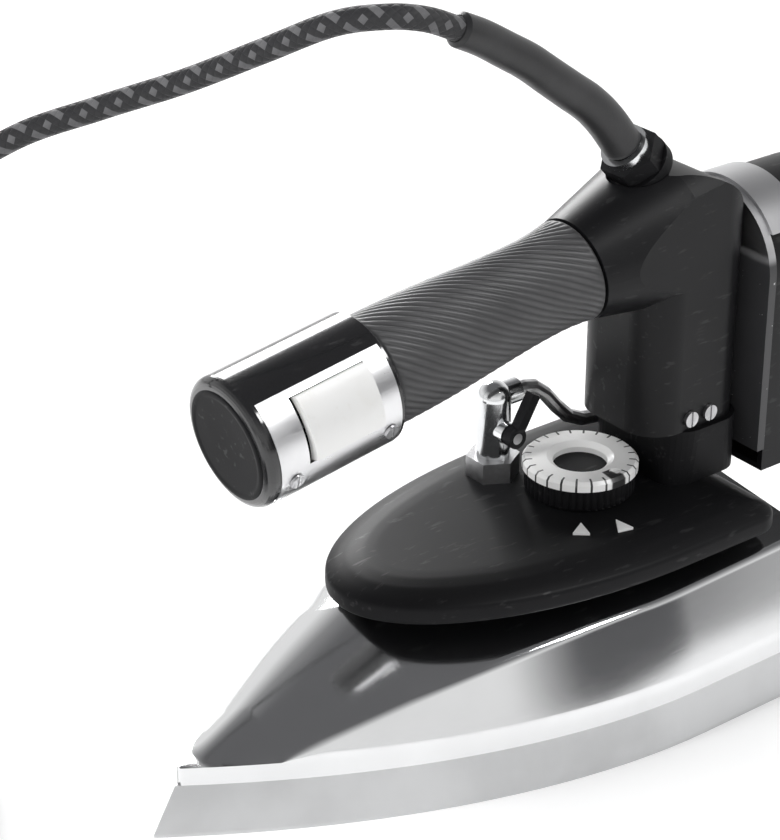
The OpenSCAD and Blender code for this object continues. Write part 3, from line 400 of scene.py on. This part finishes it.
def finishes(body, handle, cord):
    """One material for each of the record's slots."""
    t = TINTS
    return {
        "polished_aluminium": polished_metal("cast_aluminium", (0.60, 0.605, 0.61), 0.26, 0.04, (1, 0.08, 6)),
        "sheet_aluminium": polished_metal("sheet_aluminium", t["sheet_aluminium"], 0.32),
        "chrome_shell": polished_metal("chrome_shell", (0.84, 0.845, 0.85), 0.09, body.chrome_wave,
                                       (1, 0.2, 1), 600, 0.12),
        "chrome_trim": polished_metal("chrome_trim", t["chrome_trim"], 0.12, 0.05, (1, 1, 0.3), 800),
        "zinc_steel": plated_metal("zinc_steel", t["zinc_steel"]),
        "heater_sheath": plated_metal("heater_sheath", t["heater_sheath"], 0.5),
        "spring_steel": plated_metal("spring_steel", t["spring_steel"], 0.22),
        "turned_brass": turned_metal("turned_brass", t["turned_brass"]),
        "copper_tube": turned_metal("copper_tube", t["copper_tube"], 0.25),
        "red_silicone": soft_rubber("red_silicone", t["red_silicone"], 0.6),
        "grip_rubber": ribbed_skin("grip_rubber", tuple(handle.colour)),
        "sleeve_rubber": soft_rubber("sleeve_rubber", (0.014, 0.014, 0.015), 0.36),
        "cover_resin": moulded_resin("cover_resin", tuple(body.cover_colour), 0.42, 0.4, 1800, 0.0, 0.12),
        "handle_resin": moulded_resin("handle_resin", (0.008, 0.008, 0.009), 0.34, 0.35, 2200, 0.0, 0.22),
        "switch_resin": moulded_resin("switch_resin", (0.012, 0.012, 0.013), 0.12, 0.1, 1500, 0.7),
        "knob_resin": moulded_resin("knob_resin", (0.008, 0.008, 0.009), 0.5, 0.6, 2600, 0.0, 0.15),
        "white_resin": pale_resin("white_resin", (0.86, 0.86, 0.85)),
        "dial_print": printed_face("dial_print", (0.97, 0.97, 0.96), DIAL),
        "phenolic_brown": moulded_resin("phenolic_brown", t["phenolic_brown"], 0.5, 0.5),
        "ceramic": fired_ceramic("ceramic", t["ceramic"]),
        "side_aluminium": polished_metal("side_aluminium", (0.84, 0.84, 0.85), 0.24, 0.03,
                                         (1, 0.05, 1), 1400),
        # the bracket is drawn pale above 20 mm below its top: a painted highlight on its top
        "grey_painted_metal": painted_sheet("grey_painted_metal", (0.045, 0.045, 0.048),
                                            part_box("valve_bracket")[1][2] - 0.020),
        "coil_resin": moulded_resin("coil_resin", t["coil_resin"], 0.25, 0.2, 1500, 0.5),
        "switch_case": moulded_resin("switch_case", t["switch_case"], 0.45, 0.5),
        "red_button": moulded_resin("red_button", t["red_button"], 0.35, 0.3),
        "braid": braided_thread("braid", tuple(cord.braid_dark), tuple(cord.braid_light),
                                cord.braid_pitch, 7),
        "plug_pin_brass": plated_metal("plug_pin_brass", t["plug_pin_brass"], 0.18),
    }


# ---------------------------------------------------------------- surfaces


def grid_faces(rows, columns, closed):
    """Quads of a grid, row by row, joined round if closed."""
    i, k = np.meshgrid(np.arange(rows - 1), np.arange(columns if closed else columns - 1), indexing="ij")
    after = (k + 1) % columns
    here, beyond = i * columns, (i + 1) * columns
    quads = np.stack([here + k, here + after, beyond + after, beyond + k], -1)
    return quads.reshape(-1, 4)


def make_piece(name, points, slot, body="iron", caps=True, closed=True, sharp=40, turned=False):
    """Mesh through points[i, k], i along the piece and k round it, with flat ends; sharp is the angle past
    which an edge stays crisp."""
    rows, columns = points.shape[:2]
    quads = grid_faces(rows, columns, closed)
    ring = np.arange(columns)
    faces = quads.tolist()
    if caps:
        faces += [ring[::-1].tolist(), (ring + (rows - 1) * columns).tolist()]
    if turned:
        faces = [f[::-1] for f in faces]
    mesh = bpy.data.meshes.new(name)
    mesh.from_pydata(points.reshape(-1, 3).tolist(), [], faces)
    mesh.update()
    mesh.shade_smooth()
    mesh.set_sharp_from_angle(angle=math.radians(sharp))
    piece = bpy.data.objects.new(name, mesh)
    bpy.context.scene.collection.objects.link(piece)
    mesh.materials.append(MADE[slot])
    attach(piece, body)
    return piece


def smooth_path(points, step):
    """Catmull-Rom curve through points, resampled evenly every step: on each span
    p = ((2b) + (c - a) t + (2a - 5b + 4c - d) t^2 + (3b - a - 3c + d) t^3) / 2."""
    p = np.asarray(points, float)
    p = np.vstack([2 * p[0] - p[1], p, 2 * p[-1] - p[-2]])
    t = np.linspace(0, 1, 24, endpoint=False)[None, :, None]
    a, b, c, d = (p[i:len(p) - 3 + i, None, :] for i in range(4))
    curve = 0.5 * (2 * b + (c - a) * t + (2 * a - 5 * b + 4 * c - d) * t ** 2
                   + (3 * b - a - 3 * c + d) * t ** 3)
    return even_steps(np.vstack([curve.reshape(-1, 3), p[-2]]), step)


def even_steps(curve, step):
    """The same line with points an equal length apart."""
    run = np.concatenate([[0], np.cumsum(np.linalg.norm(np.diff(curve, axis=0), axis=1))])
    want = np.linspace(0, run[-1], max(int(run[-1] / step), 2) + 1)
    return np.stack([np.interp(want, run, curve[:, i]) for i in range(3)], 1)


def carried_frames(path):
    """Two unit vectors across the path at each point, carried along it with the least twist."""
    tangent = np.gradient(path, axis=0)
    tangent /= np.linalg.norm(tangent, axis=1)[:, None]
    across = np.zeros_like(path)
    start = np.cross(tangent[0], [0.3, 0.9, 0.2])
    across[0] = start / np.linalg.norm(start)
    for i in range(1, len(path)):
        v = across[i - 1] - tangent[i] * (across[i - 1] @ tangent[i])
        across[i] = v / np.linalg.norm(v)
    return across, np.cross(tangent, across)


def tube(path, radius, sides):
    """Surface p(i, a) = path[i] + radius[i] (cos a u[i] + sin a w[i]), with u and w across the path."""
    u, w = carried_frames(path)
    a = np.linspace(0, 2 * math.pi, sides, endpoint=False)
    ring = np.cos(a)[None, :, None] * u[:, None] + np.sin(a)[None, :, None] * w[:, None]
    return path[:, None] + np.broadcast_to(radius, len(path))[:, None, None] * ring


def turned_profile(profile, sides, wobble=None):
    """Surface of revolution about z: p(i, a) = (r cos a, r sin a, z), with r = r(i) + wobble(i, a)."""
    r, z = np.asarray(profile, float).T
    a = np.linspace(0, 2 * math.pi, sides, endpoint=False)
    row, turn = np.arange(len(r))[:, None], a[None, :]
    radius = r[:, None] + (0 * turn if wobble is None else wobble(row, turn))
    return np.stack([radius * np.cos(a), radius * np.sin(a), np.broadcast_to(z[:, None], radius.shape)], -1)


def soften(corners, radius, steps=5):
    """A polyline whose inner corners are rounded by the curve q = (1-t)^2 a + 2 t (1-t) c + t^2 b."""
    c = np.asarray(corners, float)
    rows = [c[:1]]
    t = np.linspace(0, 1, steps)[:, None]
    for before, here, after in zip(c[:-2], c[1:-1], c[2:]):
        reach = [min(radius, 0.45 * np.linalg.norm(o - here)) for o in (before, after)]
        a = here + (before - here) * reach[0] / max(np.linalg.norm(before - here), 1e-9)
        b = here + (after - here) * reach[1] / max(np.linalg.norm(after - here), 1e-9)
        rows.append((1 - t) ** 2 * a + 2 * t * (1 - t) * here + t ** 2 * b)
    return np.vstack(rows + [c[-1:]])


TILT = math.radians(8.8)
HANDLE = np.array([0, back(30), 0.120])


def along_handle(points):
    """Turns points (x, z, s), z up from the handle's axis and s along it, into the shared frame."""
    x, z, s = points[..., 0], points[..., 1], points[..., 2]
    c, n = math.cos(TILT), math.sin(TILT)
    return HANDLE + np.stack([x, s * c - z * n, s * n + z * c], -1)


# ---------------------------------------------------------------- pieces

MADE = {}


class IRON_OT_finishes(bpy.types.Operator):
    """Makes one material for each slot and puts it on every carried-over node"""
    bl_idname = "iron.finishes"
    bl_label = "Finishes"

    def execute(self, context):
        scene = context.scene
        MADE.update(finishes(scene.iron_body, scene.iron_handle, scene.iron_cord))
        for node, piece in frame["nodes"].items():
            piece.data.materials.clear()
            piece.data.materials.append(MADE[SLOTS[node]])
        return {"FINISHED"}


GLAND = np.array([0, back(183), 0.165])
GLAND_AXIS = np.array([0, -math.sin(math.radians(42)), math.cos(math.radians(42))])
COLLAR_TOP = GLAND + 0.013 * GLAND_AXIS
SLEEVE_ROUTE = [(0, 167, 184), (0, 160, 191), (0, 152, 197), (0, 144, 203), (0, 136, 209), (0, 128, 214),
                (0, 119, 219.5), (0, 110, 224)]
CORD_ROUTE = [(-2, 100.3, 228.2), (-6.9, 90.4, 229.5), (-16.9, 80, 226.9), (-33.8, 68.3, 217),
              (-53.6, 55.1, 205.5), (-72, 38, 196), (-87, 18, 187), (-101, -2, 171), (-111, -20, 148),
              (-117, -38, 120), (-120, -55, 91), (-121, -73, 63), (-119, -91, 38), (-112, -107.5, 19),
              (-99, -120, 8.5), (-81, -127.5, 4.4)]
COIL = (-60, -84.8)
TAIL_ROUTE = [(-90, -47.6, 18), (-98, -50.2, 16.2), (-105, -52.5, 14.7), (-111.5, -54.9, 13.7),
              (-118.6, -58.7, 13.2), (-125.8, -65.9, 13), (-130.4, -74.9, 13), (-132, -84.9, 13),
              (-132, -92, 13)]


def placed(route):
    """Shared-frame points of a route given as across, back from the tip and up, in millimetres."""
    r = np.asarray(route, float)
    return np.stack([r[:, 0] * MM, back(r[:, 1]), r[:, 2] * MM], 1)


def rise(turns, start, end):
    """Smooth step from 0 to 1 while the count of turns goes from start to end."""
    x = np.clip((turns - start) / (end - start), 0, 1)
    return x * x * (3 - 2 * x)


def coil_route():
    """Turns of the coil: after n turns the angle is -90 + 360 n degrees, the radius steps in twice on the
    table, then out twice on the second layer, and the height steps up a layer after turns 2.3 and 4.65."""
    outer, step, lowest, layer = 44.5, 7.5, 3.8, 7.4
    n = np.arange(0, 5.55, 1 / 32)
    inward, outward = rise(n, 0.65, 1) + rise(n, 1.65, 2), rise(n, 3, 3.3) + rise(n, 4, 4.3)
    radius = outer - step * inward + step * outward
    height = lowest + layer * (rise(n, 2.3, 2.65) + rise(n, 4.65, 5))
    angle = 2 * math.pi * n - math.pi / 2
    return np.stack([COIL[0] + radius * np.cos(angle), COIL[1] + radius * np.sin(angle), height], 1)


class IRON_OT_cord(bpy.types.Operator):
    """Builds the braided supply cord, with its coil, and the sleeve it leaves through"""
    bl_idname = "iron.cord"
    bl_label = "Supply cord"

    def execute(self, context):
        s = context.scene.iron_cord
        start = [COLLAR_TOP - 0.004 * GLAND_AXIS, COLLAR_TOP + 0.004 * GLAND_AXIS]
        way = [start, placed(SLEEVE_ROUTE + CORD_ROUTE), placed(coil_route()), placed(TAIL_ROUTE)]
        path = smooth_path(np.vstack(way), 0.0022)
        run = np.concatenate([[0], np.cumsum(np.linalg.norm(np.diff(path, axis=0), axis=1))])
        cord = make_piece("supply_cord", tube(path, s.diameter / 2, s.sides), "braid", sharp=180)
        self.map_braid(cord, run, s.sides)
        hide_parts("power_cord", "cord_coil", "cord_tail")
        sleeve = self.sleeve(s)
        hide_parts("strain_relief")
        return {"FINISHED"}

    @staticmethod
    def map_braid(cord, run, sides):
        """UV: u is the length along the cord in metres, v is the turn round it, 0 to 1."""
        rows = len(run)
        i, k = np.meshgrid(np.arange(rows - 1), np.arange(sides), indexing="ij")
        u = np.stack([run[i], run[i], run[i + 1], run[i + 1]], -1)
        v = np.stack([k, k + 1, k + 1, k], -1) / sides
        uv = np.zeros((len(cord.data.loops), 2))
        uv[:u.size] = np.stack([u.ravel(), v.ravel()], 1)
        layer = cord.data.uv_layers.new(name="Braid")
        layer.data.foreach_set("uv", uv.ravel())

    @staticmethod
    def sleeve(s):
        """Tapered sleeve: radius falls along the route and ends in a round lip."""
        path = smooth_path(np.vstack([[COLLAR_TOP], placed(SLEEVE_ROUTE)]), 0.001)
        t = np.linspace(0, 1, len(path))
        wide, taper, lip, foot, share = 0.0062, 0.0010, 0.0012, 0.0008, 0.015
        radius = wide - taper * t
        radius = radius - lip * np.clip((t - (1 - share)) / share, 0, 1) ** 2
        radius = radius - foot * np.clip((share - t) / share, 0, 1) ** 2
        return make_piece("cord_sleeve", tube(path, radius, 32), "sleeve_rubber")


class IRON_OT_grip(bpy.types.Operator):
    """Builds the grip sleeve with its slanting ribs"""
    bl_idname = "iron.grip"
    bl_label = "Grip sleeve"

    def execute(self, context):
        s = context.scene.iron_handle
        start, length, wide, waist, bore = 48.6 * MM, 78 * MM, 17.4 * MM, 15.2 * MM, 9.2 * MM
        narrowest, flare = 0.82, 1.2 * MM
        t = np.linspace(0, 1, 180)
        radius = (wide - (wide - waist) * np.sin(math.pi / 2 * np.minimum(t / narrowest, 1)) ** 3
                  + flare * (np.maximum(t - narrowest, 0) / (1 - narrowest)) ** 2)
        plain_end = np.clip(np.minimum(t, 1 - t) / 0.035, 0, 1)
        lip = 1 - np.clip(np.minimum(t, 1 - t) / 0.012, 0, 1)
        a = np.linspace(0, 2 * math.pi, 320, endpoint=False)
        phase = s.rib_count * (a[None, :] + 2 * math.pi * s.rib_twist * t[:, None])
        rib = (0.5 + 0.5 * np.cos(phase)) ** 0.7
        r = radius[:, None] - s.rib_depth * (1 - rib) * plain_end[:, None] - 0.0008 * lip[:, None] ** 2
        reach = np.broadcast_to(start + length * t[:, None], r.shape)
        outer = np.stack([r * np.cos(a), r * np.sin(a), reach], -1)
        hole = np.stack([bore * np.cos(a), bore * np.sin(a), np.zeros_like(a)], -1)
        front, rear = hole + [0, 0, start], hole + [0, 0, start + length]
        points = along_handle(np.concatenate([front[None], outer, rear[None]]))
        grip = make_piece("grip_sleeve", points, "grip_rubber", caps=False, sharp=60, turned=True)
        mark = grip.data.attributes.new("Rib", "FLOAT", "POINT")
        mark.data.foreach_set("value", np.concatenate([a * 0, (rib * plain_end[:, None]).ravel(), a * 0]))
        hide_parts("handle_grip")
        return {"FINISHED"}


def cover_outline(inset):
    """Plan of the cover, in millimetres (across, back): (h sin a, s - l cos a) round the nose, with h the
    half width, s where the sides start and l the nose's length; a corner at the tail; then mirrored."""
    half, tail, corner = 45.5 - inset, 208 - inset, max(9 - inset, 2)
    sides_start, nose = 168, 100 - inset
    a = np.radians(np.linspace(0, 90, 46))
    b = np.radians(np.linspace(0, 90, 12))
    bow = np.stack([half * np.sin(a), sides_start - nose * np.cos(a)], 1)
    arc = np.stack([half - corner + corner * np.cos(b), tail - corner + corner * np.sin(b)], 1)
    right = np.vstack([bow, arc])
    return np.vstack([right, right[:0:-1] * [-1, 1]])


class IRON_OT_end_disc(bpy.types.Operator):
    """Builds the matt disc that closes the switch barrel, with a shallow dish and a rounded rim"""
    bl_idname = "iron.end_disc"
    bl_label = "Barrel end disc"

    def execute(self, context):
        rim = 16.8 * MM
        side = soften([(rim, 0.6 * MM), (rim, -0.35 * MM), (rim - 1.2 * MM, -0.55 * MM),
                       (rim - 2.2 * MM, -0.25 * MM), (0.2 * MM, -0.1 * MM)], 0.5 * MM, 4)
        points = along_handle(turned_profile(side, 96))
        make_piece("barrel_end_disc", points, "knob_resin", sharp=50, turned=True)
        return {"FINISHED"}


class IRON_OT_cover(bpy.types.Operator):
    """Builds the moulded cover with its rounded lip"""
    bl_idname = "iron.cover"
    bl_label = "Moulded cover"

    def execute(self, context):
        profile = soften([(53, 4), (53, 0.6), (54.2, 0), (58.6, 0.1), (60.4, 3.4), (61.9, 7.2), (62.8, 12),
                          (63, 16), (63, 19)], 1.2, 5)
        around = len(cover_outline(0))
        rings = [np.column_stack([cover_outline(inset), np.full(around, z)]) for z, inset in profile]
        points = np.array(rings)
        points = np.stack([points[..., 0] * MM, back(points[..., 1]), points[..., 2] * MM], -1)
        cover = make_piece("moulded_cover", points, "cover_resin", sharp=50)
        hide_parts("top_cover")
        return {"FINISHED"}


SHELL_HALF, SHELL_NOSE, SHELL_FLANK = 56, 8, 165
EDGE_TOP, RIDGE_RISE, RIDGE_LEAN = 21, 24.9, 0.37
RIDGE_START, RIDGE_FLAT, RIDGE_SLOPE = 34.4, 152.4, 0.03
CREST_START, CREST_SLOPE, CREST_TOP = 16, 0.56, 52.5


def shell_half(d):
    """Half width of the shell at d back from the tip: h (1 - (1 - (d - n) / (f - n))^1.9), with h the half
    width from f, where the flank starts, and n the nose."""
    share = np.clip(d - SHELL_NOSE, 0, None) / (SHELL_FLANK - SHELL_NOSE)
    return np.where(d >= SHELL_FLANK, SHELL_HALF, SHELL_HALF * (1 - (1 - share) ** 1.9))


class IRON_OT_shell(bpy.types.Operator):
    """Builds the folded chrome shell with rounded folds"""
    bl_idname = "iron.shell"
    bl_label = "Chrome shell"

    def execute(self, context):
        radius = context.scene.iron_body.ridge_radius / MM
        d = np.concatenate([np.linspace(9.5, 60, 60), np.linspace(61, 219, 90)])
        t = np.clip((d - RIDGE_START) / (RIDGE_FLAT - RIDGE_START), 0, 1)
        ridge = EDGE_TOP + RIDGE_RISE * (1 - (1 - t) ** 2) + RIDGE_SLOPE * np.clip(d - RIDGE_FLAT, 0, None)
        crest = np.minimum(EDGE_TOP + CREST_SLOPE * np.clip(d - CREST_START, 0, None), CREST_TOP)
        half = shell_half(d)
        lift = np.minimum(ridge, crest)
        fold = np.maximum(half - RIDGE_LEAN * (lift - EDGE_TOP), 0.4)
        rings = []
        for w, r, up, top, at in zip(half, fold, lift, crest, d):
            side = soften([(w, 15), (w, EDGE_TOP), (r, up), (0, top + 0.3)], radius, 6)
            ring = np.vstack([side, side[-2::-1] * [-1, 1]])
            rings.append(np.column_stack([ring[:, 0], np.full(len(ring), at), ring[:, 1]]))
        points = np.array(rings)
        points = np.stack([points[..., 0] * MM, back(points[..., 1]), points[..., 2] * MM], -1)
        shell = make_piece("chrome_skin", points, "chrome_shell", sharp=60, turned=True)
        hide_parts("body_shell")
        return {"FINISHED"}


class IRON_OT_dial(bpy.types.Operator):
    """Builds the dial's dark knurled skirt, closed at the top"""
    bl_idname = "iron.dial"
    bl_label = "Temperature dial"

    def execute(self, context):
        knurls = context.scene.iron_body.knurls
        low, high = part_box("dial_knob")
        centre = [(low[0] + high[0]) / 2, (low[1] + high[1]) / 2, 0]
        base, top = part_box("dial_knob")[0][2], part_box("dial_ring")[0][2]
        r, well = 17.5 * MM, 8.3 * MM

        def groove(i, a):
            deep = np.where((i > 2) & (i < 13), 0.0006, 0)
            return -deep * (0.5 + 0.5 * np.cos(knurls * a)) ** 1.5

        side = soften([(3.1 * MM, base), (r - 0.5 * MM, base), (r, base + 0.6 * MM), (r, top - 0.9 * MM),
                       (r - 0.3 * MM, top), (well, top), (well, top + 0.1 * MM), (0.2 * MM, top + 0.1 * MM)],
                      0.4 * MM, 3)
        points = turned_profile(side, knurls * 6, groove) + centre
        skirt = make_piece("dial_skirt", points, "knob_resin", "dial", sharp=50)
        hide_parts("dial_knob")
        return {"FINISHED"}


class IRON_OT_plug(bpy.types.Operator):
    """Builds the plug's moulded body with finger grooves"""
    bl_idname = "iron.plug"
    bl_label = "Plug"

    def execute(self, context):
        low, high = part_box("plug_body")
        x, z = (low[0] + high[0]) / 2, (low[2] + high[2]) / 2
        length = high[1] - low[1]
        side = soften([(4.2 * MM, 0), (7 * MM, 0), (7.6 * MM, 6 * MM), (9 * MM, 8 * MM), (12.6 * MM, 12 * MM),
                       (12.8 * MM, 20 * MM), (12.8 * MM, length - 6 * MM), (12.2 * MM, length - 3 * MM),
                       (12.2 * MM, length), (0.3 * MM, length)], 1.6 * MM, 5)

        def grooves(i, a):
            s = side[:, 1][:, None]
            band = np.clip(np.minimum(s - 0.014, 0.028 - s) / 0.001, 0, 1)
            return -0.0007 * band * (0.5 + 0.5 * np.cos(a * 24))

        p = turned_profile(side, 144, grooves)
        points = np.stack([p[..., 0] + x, high[1] - p[..., 2], p[..., 1] + z], -1)
        plug = make_piece("moulded_plug", points, "sleeve_rubber", sharp=45)
        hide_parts("plug_body")
        return {"FINISHED"}


# ---------------------------------------------------------------- stage


def aim(thing, at):
    """Turns a light or camera so that it looks at a point."""
    look = Vector(at - np.array(thing.location))
    thing.rotation_euler = look.to_track_quat("-Z", "Y").to_euler()


class IRON_OT_stage(bpy.types.Operator):
    """Puts down the pale floor, the soft lights and the camera"""
    bl_idname = "iron.stage"
    bl_label = "Stage"

    def execute(self, context):
        s = context.scene.iron_stage
        self.floor(s)
        world = bpy.data.worlds.new("studio")
        context.scene.world = world
        world.use_nodes = True
        self.sky(world.node_tree)
        middle = np.array([0.0, back(110), 0.09])
        for name, at, width, height, power in (
                ("key", (-0.35, -0.85, 1.1), 0.6, 0.9, s.key), ("fill", (1.3, 0.5, 0.7), 0.9, 0.7, s.fill),
                ("rim", (-0.5, 0.9, 0.8), 0.9, 0.4, s.fill),
                ("edge_strip", (-1.10, 0.46, 0.50), 0.42, 0.56, s.strip * 1.6),
                ("top_strip", (0.62, 0.36, 0.93), 0.34, 0.3, s.strip * 0.85)):
            data = bpy.data.lights.new(name, "AREA")
            data.shape, data.size, data.size_y, data.energy = "RECTANGLE", width, height, power
            light = bpy.data.objects.new(name, data)
            context.scene.collection.objects.link(light)
            light.location = middle + np.array(at)
            light.visible_glossy = "strip" in name
            light.visible_diffuse = "strip" not in name
            aim(light, middle)
        data = bpy.data.cameras.new("camera")
        data.sensor_width, data.lens = 36, 109.0971
        data.clip_start, data.clip_end = 0.05, 20
        camera = bpy.data.objects.new("camera", data)
        context.scene.collection.objects.link(camera)
        camera.location = (0.5217, -0.4447, 0.4495)
        aim(camera, np.array([0, -0.04437, 0.11009]))
        context.scene.camera = camera
        context.scene.view_settings.view_transform = "Standard"
        return {"FINISHED"}

    @staticmethod
    def sky(tree):
        """Studio light from all round: bright low down, dark overhead, with a dark patch low on one side."""
        ray = tree.nodes.new("ShaderNodeTexCoord")
        split = tree.nodes.new("ShaderNodeSeparateXYZ")
        up = tree.nodes.new("ShaderNodeValToRGB")
        tree.links.new(ray.outputs["Generated"], split.inputs[0])
        tree.links.new(split.outputs["Z"], up.inputs[0])
        first, last = up.color_ramp.elements
        first.position, first.color = 0.30, (0.84, 0.84, 0.84, 1)
        last.position, last.color = 0.80, (0.13, 0.13, 0.135, 1)
        nearness = tree.nodes.new("ShaderNodeVectorMath")
        nearness.operation = "DOT_PRODUCT"
        tree.links.new(ray.outputs["Generated"], nearness.inputs[0])
        nearness.inputs[1].default_value = (0.908, 0.404, 0.11)
        patch = tree.nodes.new("ShaderNodeValToRGB")
        tree.links.new(nearness.outputs["Value"], patch.inputs[0])
        first, last = patch.color_ramp.elements
        first.position, first.color = 0.93, (1, 1, 1, 1)
        last.position, last.color = 0.985, (0.12, 0.12, 0.125, 1)
        both = tree.nodes.new("ShaderNodeMix")
        both.data_type, both.blend_type = "RGBA", "MULTIPLY"
        both.inputs[0].default_value = 1.0
        tree.links.new(up.outputs[0], both.inputs[6])
        tree.links.new(patch.outputs[0], both.inputs[7])
        tree.links.new(both.outputs[2], tree.nodes["Background"].inputs["Color"])
        tree.nodes["Background"].inputs["Strength"].default_value = 1.0

    @staticmethod
    def floor(s):
        """Pale floor that glows faintly, so that it stays white to the horizon."""
        mesh = bpy.data.meshes.new("floor")
        reach = 15.0
        corners = [(-reach, -reach, 0), (reach, -reach, 0), (reach, reach, 0), (-reach, reach, 0)]
        mesh.from_pydata(corners, [], [(0, 1, 2, 3)])
        floor = bpy.data.objects.new("floor", mesh)
        bpy.context.scene.collection.objects.link(floor)
        mesh.materials.append(Finish("floor", tuple(s.floor), 0.7, Emission_Color=(1.0, 1.0, 1.0, 1.0),
                                     Emission_Strength=0.2).material)


class IRON_PT_panel(bpy.types.Panel):
    """Lists what can be built and changed"""
    bl_label = "Steam iron"
    bl_idname = "IRON_PT_panel"
    bl_space_type = "VIEW_3D"
    bl_region_type = "UI"
    bl_category = "Steam iron"

    def draw(self, context):
        for made in OPERATORS:
            self.layout.operator(made.bl_idname)
        for holder in (context.scene.iron_cord, context.scene.iron_handle, context.scene.iron_body,
                       context.scene.iron_stage):
            box = self.layout.box()
            for key in holder.__annotations__:
                box.prop(holder, key)


SETTINGS = {"iron_cord": CordSettings, "iron_handle": HandleSettings, "iron_body": BodySettings,
            "iron_stage": StageSettings}
OPERATORS = [IRON_OT_finishes, IRON_OT_stage, IRON_OT_plug, IRON_OT_cord, IRON_OT_grip, IRON_OT_end_disc,
             IRON_OT_cover, IRON_OT_shell, IRON_OT_dial]


def register():
    for made in [*SETTINGS.values(), *OPERATORS, IRON_PT_panel]:
        bpy.utils.register_class(made)
    for name, group in SETTINGS.items():
        setattr(bpy.types.Scene, name, bpy.props.PointerProperty(type=group))


def unregister():
    for name in SETTINGS:
        delattr(bpy.types.Scene, name)
    for made in [*SETTINGS.values(), *OPERATORS, IRON_PT_panel]:
        bpy.utils.unregister_class(made)


def main():
    """Builds everything in order."""
    register()
    for made in OPERATORS:
        area, name = made.bl_idname.split(".")
        getattr(getattr(bpy.ops, area), name)()


if __name__ == "__main__":
    main()
